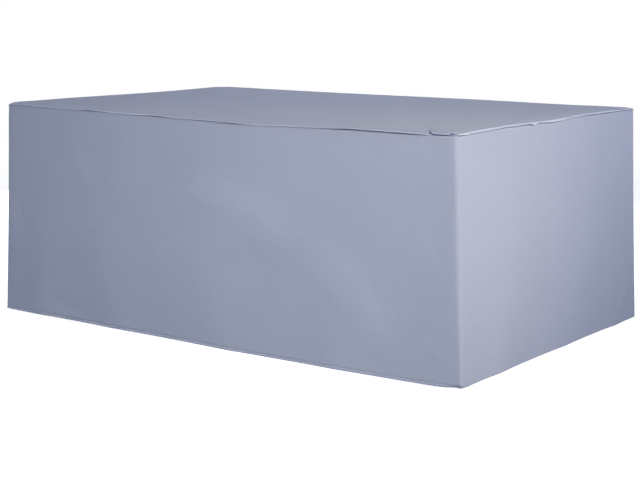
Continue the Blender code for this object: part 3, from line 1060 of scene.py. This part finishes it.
def studio_paper(name, colour, radius):
    """Matt, pale background paper, whose rim fades into the white backdrop."""
    material, tree, shader = new_material(name)
    place = add_node(tree, "ShaderNodeTexCoord", {}, {}).outputs["Object"]
    fine = {"Scale": PAPER_GRAIN_SCALE, "Detail": 3.0}
    grain = add_node(tree, "ShaderNodeTexNoise", fine, {"Vector": place})
    paper = dyed(tree, colour, grain.outputs["Fac"], 0.99, 1.01)
    distance = add_node(tree, "ShaderNodeVectorMath", {"operation": "LENGTH"}, {0: place})
    starts, stops = FLOOR_FADE
    fading = {
        "interpolation_type": "SMOOTHSTEP",
        "From Min": starts * radius,
        "From Max": stops * radius,
        "To Min": 1.0,
        "To Max": 0.0,
    }
    fade = add_node(tree, "ShaderNodeMapRange", fading, {"Value": distance.outputs["Value"]})
    tree.links.new(paper, shader.inputs["Base Color"])
    tree.links.new(fade.outputs["Result"], shader.inputs["Alpha"])
    shader.inputs["Emission Color"].default_value = (1.0, 1.0, 1.0, 1.0)
    shader.inputs["Emission Strength"].default_value = FLOOR_GLOW
    shader.inputs["Roughness"].default_value = 0.9
    shader.inputs["Specular IOR Level"].default_value = 0.2
    return material


# ---- The wall band ----
def wall_heights():
    """Heights above the hem's fold, from the seam down: fine next to the seam and the hem."""
    below_seam = graded(TOP_LEVEL - HEM_HEIGHT, FINE_STEP, COARSE_STEP)
    hem = np.linspace(HEM_HEIGHT, HEM_FOLD_RADIUS, HEM_ROWS + 1)[1:]
    return np.concatenate([TOP_LEVEL - below_seam, hem])


def wall_profile():
    """(height above the fold, inset from the outer face) of each row.

    The rows run down the outer face, round the fold and up inside the hem.
    """
    outside = [(height, 0.0) for height in wall_heights()]
    fold = []
    for turn in np.linspace(0.0, math.pi, HEM_FOLD_STEPS + 1)[1:]:
        height = HEM_FOLD_RADIUS * (1.0 - math.sin(turn))
        inset = HEM_FOLD_RADIUS * (1.0 - math.cos(turn))
        fold.append((height, inset))
    inside = [(HEM_HEIGHT * share, 2.0 * HEM_FOLD_RADIUS) for share in (0.5, 1.0)]
    return outside + fold + inside


def small_relief(cloth, height, place, side, along):
    """Creases and crumples of the walls at one height."""
    creases = np.zeros(len(side))
    for number, name in enumerate(SIDES):
        there = side == number
        level = np.full(there.sum(), height)
        creases[there] = crease_relief(WALL_CREASES[name], along[there], level)
    crumple = crumple_relief(place, WALL_CRUMPLE_SIZE, seed=1) * crumple_strength(side, along, height)
    away_from_seam = smooth_step((TOP_LEVEL - height) / CREASES_BELOW_SEAM)
    away = away_from_seam * smooth_step(height / CREASES_ABOVE_FOLD)
    return away * (cloth.crease_depth * creases + cloth.crumple_depth * crumple)


def puckers(height, side, along):
    """The walls' puckers at one height, below the top seam and about the hem's upper edge."""
    line = along + SIDE_SHIFT * side
    below = TOP_LEVEL - height
    reach, spacing = SEAM_PUCKERS
    at_seam = np.exp(-below / reach) * wander(line, spacing, seed=3) * smooth_step(below / PUCKERS_START)
    reach, spacing = HEM_PUCKERS
    at_hem = math.exp(-abs(height - HEM_HEIGHT) / reach) * wander(line, spacing, seed=4)
    return at_seam + HEM_PUCKER_SHARE * at_hem


def hem_curl(height, side, along):
    """How far the hem curls in under the cover at one height."""
    found = np.zeros(len(side))
    for curl_side, middle, half_width, reach_in, up_to in HEM_CURLS:
        curl = reach_in * bell(along - middle, half_width) * smooth_step(1.0 - height / up_to)
        found += np.where(side == curl_side, curl, 0.0)
    return found


def hem_roll(height, side):
    """How far the hem's outer layer is pulled in at its stitches and puffs out below them."""
    groove = HEM_GROOVE * bell(height - HEM_STITCHES_AT, HEM_GROOVE_WIDTH)
    below_stitches = smooth_step((HEM_STITCHES_AT - height) / HEM_FULL_BELOW_STITCHES)
    full = HEM_FULLNESS * smooth_step(height / HEM_FULL_ABOVE_FOLD) * below_stitches
    return np.array(HEM_ROLL)[side] * (full - groove)


def wall_surface(cloth, profile):
    """(points, ridges) of the wall's outer face, a row for each line of the profile."""
    points, ridges = [], []
    for height, inset in profile:
        down = 1.0 - height / TOP_LEVEL
        x, y, out_x, out_y, side, along = wall_plan(float(reading(CORNER_RADII, down)))
        flare_x = np.where(x > 0.0, reading(HEM["right"], y), reading(HEM["left"], y)) * x / HALF_LENGTH
        flare_y = np.where(y > 0.0, reading(HEM["back"], x), reading(HEM["front"], x)) * y / HALF_WIDTH
        seam = top_height(x, y) - BINDING_DROP
        z = seam + (side_reading(HEM, side, along, 2) - seam) * down
        small = small_relief(cloth, height, np.stack([x, y, z], axis=1), side, along)
        _, _, tuck = binding_lie(side, along)
        tuck = tuck * bell(TOP_LEVEL - height - TUCK_BELOW_SEAM, TUCK_HALF_WIDTH)
        push = broad_folds(side, along, down) + small + cloth.pucker_depth * puckers(height, side, along)
        push = push - hem_curl(height, side, along) - tuck - inset
        if inset == 0.0:
            push = push + hem_roll(height, side)
        x = x + flare_x * down**FLARE_POWER + out_x * push
        y = y + flare_y * down**FLARE_POWER + out_y * push
        points.append(np.stack([x, y, z], axis=1))
        ridges.append(np.clip(small / PALE_CREST, 0.0, 1.0))
    return np.stack(points), np.stack(ridges)


def flat_places(points):
    """Each point's place on the flat cloth in metres, measured along the rows and down the columns."""
    along = np.linalg.norm(np.diff(points, axis=1), axis=2).mean(axis=0)
    down = np.linalg.norm(np.diff(points, axis=0), axis=2).mean(axis=1)
    u = np.concatenate([[0.0], np.cumsum(along)])
    v = -np.concatenate([[0.0], np.cumsum(down)])
    return np.stack(np.broadcast_arrays(u[None, :], v[:, None]), axis=-1)


class COVER_OT_hang_wall_band(bpy.types.Operator):
    """Hang the wall band: one strip of cloth round all four sides, with its turned-up hem"""

    bl_idname = "patio_cover.hang_wall_band"
    bl_label = "Hang the wall band"

    def execute(self, context):
        cloth = context.scene.cover_cloth
        points, ridges = wall_surface(cloth, wall_profile())
        edge = into_binding(*wall_plan(SEAM_CORNER_RADIUS), SEAM_ALLOWANCE, -cloth.thickness)
        points = np.concatenate([edge[None], points])
        ridges = np.concatenate([ridges[:1], ridges])
        material = coated_oxford_cloth("Coated oxford cloth, walls", cloth.colour, cloth.thread_spacing)
        band = cloth_sheet("wall_cloth", points, flat_places(points), ridges, cloth.thickness, material)
        put_on_cover(band)
        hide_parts("wall_band")
        return {"FINISHED"}


# ---- The top panel ----
def top_stations(half):
    """Places across the top, in fine steps next to the seams.

    Each seam's place comes twice, because the outer of the two points there goes into the binding.
    """
    places = graded(2.0 * half, FINE_STEP, COARSE_STEP) - half
    return np.concatenate([[-half], np.clip(places, -half, half), [half]])


def top_relief(cloth, x, y):
    """(creases and crumples, puckers) of the top."""
    from_end = HALF_LENGTH - np.abs(x)
    from_side = HALF_WIDTH - np.abs(y)
    from_seam = np.minimum(from_end, from_side)
    creases = crease_relief(TOP_CREASES, x, y)
    place = np.stack([x, y, np.zeros_like(x)], axis=-1).reshape(-1, 3)
    crumple = crumple_relief(place, TOP_CRUMPLE_SIZE, seed=5).reshape(x.shape) * SMOOTH_CLOTH_CRUMPLE
    away = smooth_step(from_seam / CREASES_FROM_TOP_SEAM)
    small = away * (cloth.crease_depth * creases + cloth.crumple_depth * crumple)
    at_end = y + SIDE_SHIFT * np.sign(x)
    at_side = x + 3.0 * SIDE_SHIFT * np.sign(y)
    reach, spacing = TOP_PUCKERS
    uneven = wander(np.where(from_end < from_side, at_end, at_side), spacing, seed=6).reshape(x.shape)
    return small, np.exp(-from_seam / reach) * smooth_step(from_seam / PUCKERS_START) * uneven


class COVER_OT_lay_top_panel(bpy.types.Operator):
    """Lay the top panel: one rectangle of cloth that sags a little along the front seam"""

    bl_idname = "patio_cover.lay_top_panel"
    bl_label = "Lay the top panel"

    def execute(self, context):
        cloth = context.scene.cover_cloth
        edge_x, edge_y = np.meshgrid(top_stations(HALF_LENGTH), top_stations(HALF_WIDTH)[::-1])
        in_binding = np.ones(edge_x.shape, bool)
        in_binding[1:-1, 1:-1] = False
        x, y = rounded(edge_x, edge_y, SEAM_CORNER_RADIUS)
        small, pucker = top_relief(cloth, x, y)
        z = top_height(x, y) + small + cloth.pucker_depth * pucker
        points = np.stack([x, y, z], axis=-1)
        edge = plan_places(edge_x[in_binding], edge_y[in_binding], SEAM_CORNER_RADIUS)
        points[in_binding] = into_binding(*edge, SEAM_ALLOWANCE, cloth.thickness)
        ridges = np.clip(small / PALE_CREST, 0.0, 1.0)
        material = coated_oxford_cloth("Coated oxford cloth, top", cloth.colour, cloth.thread_spacing)
        top = cloth_sheet("top_cloth", points, points[..., :2], ridges, cloth.thickness, material)
        put_on_cover(top)
        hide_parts("top_panel")
        return {"FINISHED"}


# ---- The binding ----
def binding_route():
    """Where the binding runs, from one of its ends round to the other, as plan_places gives it."""
    long_count = round(2.0 * HALF_LENGTH / BINDING_STEP)
    short_count = round(2.0 * HALF_WIDTH / BINDING_STEP)
    long_side = stations(HALF_LENGTH, SEAM_CORNER_RADIUS, long_count)
    short_side = stations(HALF_WIDTH, SEAM_CORNER_RADIUS, short_count)
    x, y = (places[:-1] for places in square_plan(short_side, long_side, short_side, long_side))
    on_front = np.isclose(y, -HALF_WIDTH)
    cut = int(np.argmax(on_front & (x > BINDING_ENDS_AT + BINDING_END_GAP)))
    last = int(np.max(np.nonzero(on_front & (x < BINDING_ENDS_AT - BINDING_END_GAP))))
    start = BINDING_ENDS_AT + BINDING_END_GAP / 2.0
    finish = BINDING_ENDS_AT - BINDING_END_GAP / 2.0
    x = np.concatenate([[start], x[cut:], x[: last + 1], [finish]])
    y = np.concatenate([[-HALF_WIDTH], y[cut:], y[: last + 1], [-HALF_WIDTH]])
    return plan_places(x, y, SEAM_CORNER_RADIUS)


def binding_section(width):
    """(reach out from the seam, level above the middle plane) round the binding's outer face.

    It runs from the lower root out to the rounded edge and back along the upper face, and is pinched
    where the stitches hold it.
    """
    half = BINDING_THICKNESS / 2.0
    edge = width - half
    near = [np.full_like(width, place) for place in (BINDING_ROOT, BINDING_SWELL_AT, BINDING_STITCHES_AT)]
    leg = np.stack([*near, (BINDING_STITCHES_AT + edge) / 2.0, edge], axis=1)
    above = half * np.array(BINDING_FULLNESS)
    turn = np.linspace(0.0, math.pi, BINDING_EDGE_STEPS + 1)[1:-1]
    edge_reach = edge[:, None] + half * np.sin(turn)[None]
    edge_level = np.broadcast_to(-half * np.cos(turn), edge_reach.shape)
    lower = np.broadcast_to(-above, leg.shape)
    upper = np.broadcast_to(above[::-1], leg.shape)
    reach = np.concatenate([leg, edge_reach, leg[:, ::-1]], axis=1)
    return reach, np.concatenate([lower, edge_level, upper], axis=1)


class COVER_OT_fold_seam_binding(bpy.types.Operator):
    """Fold the seam binding: a narrow strip round the top seam, whose two ends meet near a corner"""

    bl_idname = "patio_cover.fold_seam_binding"
    bl_label = "Fold the seam binding"

    def execute(self, context):
        cloth, sewing = context.scene.cover_cloth, context.scene.cover_sewing
        route = binding_route()
        _, width, _ = binding_lie(route[4], route[5])
        reach, level = binding_section(width)
        columns = [into_binding(*route, reach[:, i], level[:, i]) for i in range(reach.shape[1])]
        points = np.stack(columns[::-1])
        uv = flat_places(points)
        no_ridges = np.zeros(points.shape[:2])
        # Painted highlight: the binding's paler colour stands in for the light on its upper face.
        colour = sewing.binding_colour_with_painted_highlight
        material = coated_oxford_cloth("Folded oxford binding", colour, cloth.thread_spacing)
        tape = cloth_sheet("binding_tape", points, uv, no_ridges, cloth.thickness, material)
        put_on_cover(tape)
        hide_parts("seam_binding")
        return {"FINISHED"}


# ---- The sewing ----
class COVER_OT_sew_binding(bpy.types.Operator):
    """Sew the binding down: one line of stitches on each of its faces"""

    bl_idname = "patio_cover.sew_binding"
    bl_label = "Sew the binding"

    def execute(self, context):
        sewing = context.scene.cover_sewing
        route = binding_route()
        material = polyester_thread("Polyester thread, binding", sewing.thread_colour_with_painted_shade)
        pinched = BINDING_PINCH * BINDING_THICKNESS / 2.0
        rows = (("binding_stitches_above", 1.0, 11), ("binding_stitches_below", -1.0, 12))
        for name, face, seed in rows:
            line = into_binding(*route, BINDING_STITCHES_AT, face * pinched)
            out = into_binding(*route, BINDING_STITCHES_AT, face * (pinched + 1.0)) - line
            sew_row(sewing, name, line, out, material, seed)
        return {"FINISHED"}


class COVER_OT_sew_bar_tack(bpy.types.Operator):
    """Sew the bar tack: a short, close bar of darker thread that holds the binding's standing end"""

    bl_idname = "patio_cover.sew_bar_tack"
    bl_label = "Sew the bar tack"

    def execute(self, context):
        sewing = context.scene.cover_sewing
        reach = np.linspace(*BAR_TACK_REACH, BAR_TACK_POINTS)
        x = np.full(BAR_TACK_POINTS, BAR_TACK_AT)
        y = np.full(BAR_TACK_POINTS, -HALF_WIDTH)
        place = plan_places(x, y, SEAM_CORNER_RADIUS)
        face = -BINDING_THICKNESS / 2.0
        line = into_binding(*place, reach, face)
        out = into_binding(*place, reach, face - 1.0) - line
        material = polyester_thread("Dark polyester thread, bar tack", sewing.bar_tack_colour)
        tack = stitch_row("bar_tack", line, out, BAR_TACK_SPACING, BAR_TACK_STITCH, material, 14)
        put_on_cover(tack)
        return {"FINISHED"}


class COVER_OT_sew_hem(bpy.types.Operator):
    """Sew the hem: one line of stitches round the cover, just below the turned-up edge"""

    bl_idname = "patio_cover.sew_hem"
    bl_label = "Sew the hem"

    def execute(self, context):
        cloth, sewing = context.scene.cover_cloth, context.scene.cover_sewing
        points, _ = wall_surface(cloth, [(HEM_STITCHES_AT, 0.0)])
        _, _, out_x, out_y, _, _ = wall_plan(CORNER_RADII[-1][1])
        outward = np.stack([out_x, out_y, np.zeros_like(out_x)], axis=1)
        material = polyester_thread("Polyester thread, hem", sewing.thread_colour_with_painted_shade)
        sew_row(sewing, "hem_stitches", points[0], outward, material, 13)
        return {"FINISHED"}


class COVER_OT_sew_closing_seam(bpy.types.Operator):
    """Sew the closing seam: two upright rows that join the wall band's ends at the back left corner"""

    bl_idname = "patio_cover.sew_closing_seam"
    bl_label = "Sew the closing seam"

    def execute(self, context):
        cloth, sewing = context.scene.cover_cloth, context.scene.cover_sewing
        starts = TOP_LEVEL - CLOSING_SEAM_BELOW_TOP
        heights = np.linspace(starts, CLOSING_SEAM_DOWN_TO, CLOSING_SEAM_POINTS)
        points, _ = wall_surface(cloth, [(height, 0.0) for height in heights])
        _, _, out_x, out_y, _, _ = wall_plan(SEAM_CORNER_RADIUS)
        material = polyester_thread("Polyester thread, closing seam", sewing.thread_colour_with_painted_shade)
        beside = CORNER_STEPS + 1  # columns from the corner's middle to just past its rounding
        rows = (("closing_stitches_left", beside, 15), ("closing_stitches_back", -1 - beside, 16))
        for name, column, seed in rows:
            line = points[:, column]
            outward = np.broadcast_to([out_x[column], out_y[column], 0.0], line.shape)
            sew_row(sewing, name, line, outward, material, seed)
        return {"FINISHED"}


# ---- The studio ----
def place_camera(scene):
    """The camera at the photo's viewing angle."""
    yaw, pitch, roll = (math.radians(a) for a in (CAMERA_YAW, CAMERA_PITCH, CAMERA_ROLL))
    level = math.cos(pitch)
    ahead = Vector((math.sin(yaw) * level, math.cos(yaw) * level, -math.sin(pitch)))
    data = bpy.data.cameras.new("camera")
    data.sensor_fit = "HORIZONTAL"
    data.sensor_width = CAMERA_SENSOR_MM
    data.lens = CAMERA_LENS_MM
    camera = bpy.data.objects.new("camera", data)
    scene.collection.objects.link(camera)
    upright = ahead.to_track_quat("-Z", "Y").to_matrix().to_4x4()
    camera.matrix_world = Matrix.Translation(CAMERA_PLACE) @ upright @ Matrix.Rotation(roll, 4, "Z")
    scene.camera = camera


def lay_floor(studio):
    """A round sheet of pale paper under the cover."""
    deselect_all()
    radius = studio.floor_radius
    bpy.ops.mesh.primitive_circle_add(vertices=FLOOR_EDGES, radius=radius, fill_type="NGON")
    floor = bpy.context.object
    floor.name = floor.data.name = "studio_floor"
    floor.data.materials.append(studio_paper("Background paper", studio.floor_colour, radius))
    floor.visible_diffuse = False  # the light from below stands for what it throws back
    floor.visible_glossy = False


def hang_lamps(scene, studio):
    """The studio's soft lamps, which the camera doesn't see."""
    for name, place, aim, width, height, spread, power, colour in LAMPS:
        data = bpy.data.lights.new(name, "AREA")
        data.shape = "RECTANGLE"
        data.size = width
        data.size_y = height
        data.spread = math.radians(spread)
        data.energy = power * studio.lamp_power
        data.color = linear_from_hex(colour)
        lamp = bpy.data.objects.new(name, data)
        scene.collection.objects.link(lamp)
        lamp.visible_camera = False
        lamp.location = place
        lamp.rotation_euler = (Vector(aim) - Vector(place)).to_track_quat("-Z", "Y").to_euler()


def light_room(scene, studio):
    """Soft light from above and from below on the cover, and a white backdrop for the camera alone."""
    world = bpy.data.worlds.new("studio backdrop")
    scene.world = world
    world.use_nodes = True
    tree = world.node_tree
    direction = add_node(tree, "ShaderNodeTexCoord", {}, {})
    apart = add_node(tree, "ShaderNodeSeparateXYZ", {}, {"Vector": direction.outputs["Generated"]})
    blend = {
        "From Min": -HORIZON,
        "From Max": HORIZON,
        "To Min": studio.light_from_below,
        "To Max": studio.light_from_above,
    }
    strength = add_node(tree, "ShaderNodeMapRange", blend, {"Value": apart.outputs["Z"]})
    room = tree.nodes["Background"]
    room.inputs["Color"].default_value = (*linear_from_hex(ROOM_COLOUR), 1.0)
    tree.links.new(strength.outputs["Result"], room.inputs["Strength"])
    white = {"Color": (1.0, 1.0, 1.0, 1.0), "Strength": 1.0}
    backdrop = add_node(tree, "ShaderNodeBackground", white, {})
    ray = add_node(tree, "ShaderNodeLightPath", {}, {})
    sources = {
        0: ray.outputs["Is Camera Ray"],
        1: room.outputs["Background"],
        2: backdrop.outputs["Background"],
    }
    seen = add_node(tree, "ShaderNodeMixShader", {}, sources)
    tree.links.new(seen.outputs["Shader"], tree.nodes["World Output"].inputs["Surface"])
    scene.view_settings.view_transform = "Standard"  # so that the backdrop's white stays white


class COVER_OT_set_stage(bpy.types.Operator):
    """Set the stage: the camera, a round pale floor, soft lamps and a white backdrop"""

    bl_idname = "patio_cover.set_stage"
    bl_label = "Set the stage"

    def execute(self, context):
        studio = context.scene.cover_studio
        place_camera(context.scene)
        lay_floor(studio)
        hang_lamps(context.scene, studio)
        light_room(context.scene, studio)
        return {"FINISHED"}


# ---- The add-on ----
OPERATORS = (
    COVER_OT_lay_top_panel,
    COVER_OT_hang_wall_band,
    COVER_OT_fold_seam_binding,
    COVER_OT_sew_binding,
    COVER_OT_sew_bar_tack,
    COVER_OT_sew_hem,
    COVER_OT_sew_closing_seam,
    COVER_OT_set_stage,
)
SETTINGS = {
    "cover_cloth": CoverClothSettings,
    "cover_sewing": CoverSewingSettings,
    "cover_studio": StudioSettings,
}


class COVER_PT_sidebar(bpy.types.Panel):
    """The cover's settings and its steps, in the 3D view's sidebar"""

    bl_idname = "COVER_PT_sidebar"
    bl_label = "Patio Cover"
    bl_category = "Patio Cover"
    bl_space_type = "VIEW_3D"
    bl_region_type = "UI"

    def draw(self, context):
        for name, group in SETTINGS.items():
            box = self.layout.box()
            settings = getattr(context.scene, name)
            for prop in group.__annotations__:
                box.prop(settings, prop)
        for operator in OPERATORS:
            self.layout.operator(operator.bl_idname)


def register():
    """Registers the classes and gives the scene its settings."""
    for cls in (*SETTINGS.values(), *OPERATORS, COVER_PT_sidebar):
        bpy.utils.register_class(cls)
    for name, group in SETTINGS.items():
        setattr(bpy.types.Scene, name, bpy.props.PointerProperty(type=group))


def unregister():
    """Takes both away again."""
    for name in SETTINGS:
        delattr(bpy.types.Scene, name)
    for cls in (COVER_PT_sidebar, *OPERATORS[::-1], *SETTINGS.values()):
        bpy.utils.unregister_class(cls)


def main():
    """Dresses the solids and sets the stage."""
    register()
    bpy.ops.patio_cover.lay_top_panel()
    bpy.ops.patio_cover.hang_wall_band()
    bpy.ops.patio_cover.fold_seam_binding()
    bpy.ops.patio_cover.sew_binding()
    bpy.ops.patio_cover.sew_bar_tack()
    bpy.ops.patio_cover.sew_hem()
    bpy.ops.patio_cover.sew_closing_seam()
    bpy.ops.patio_cover.set_stage()


if __name__ == "__main__":
    main()
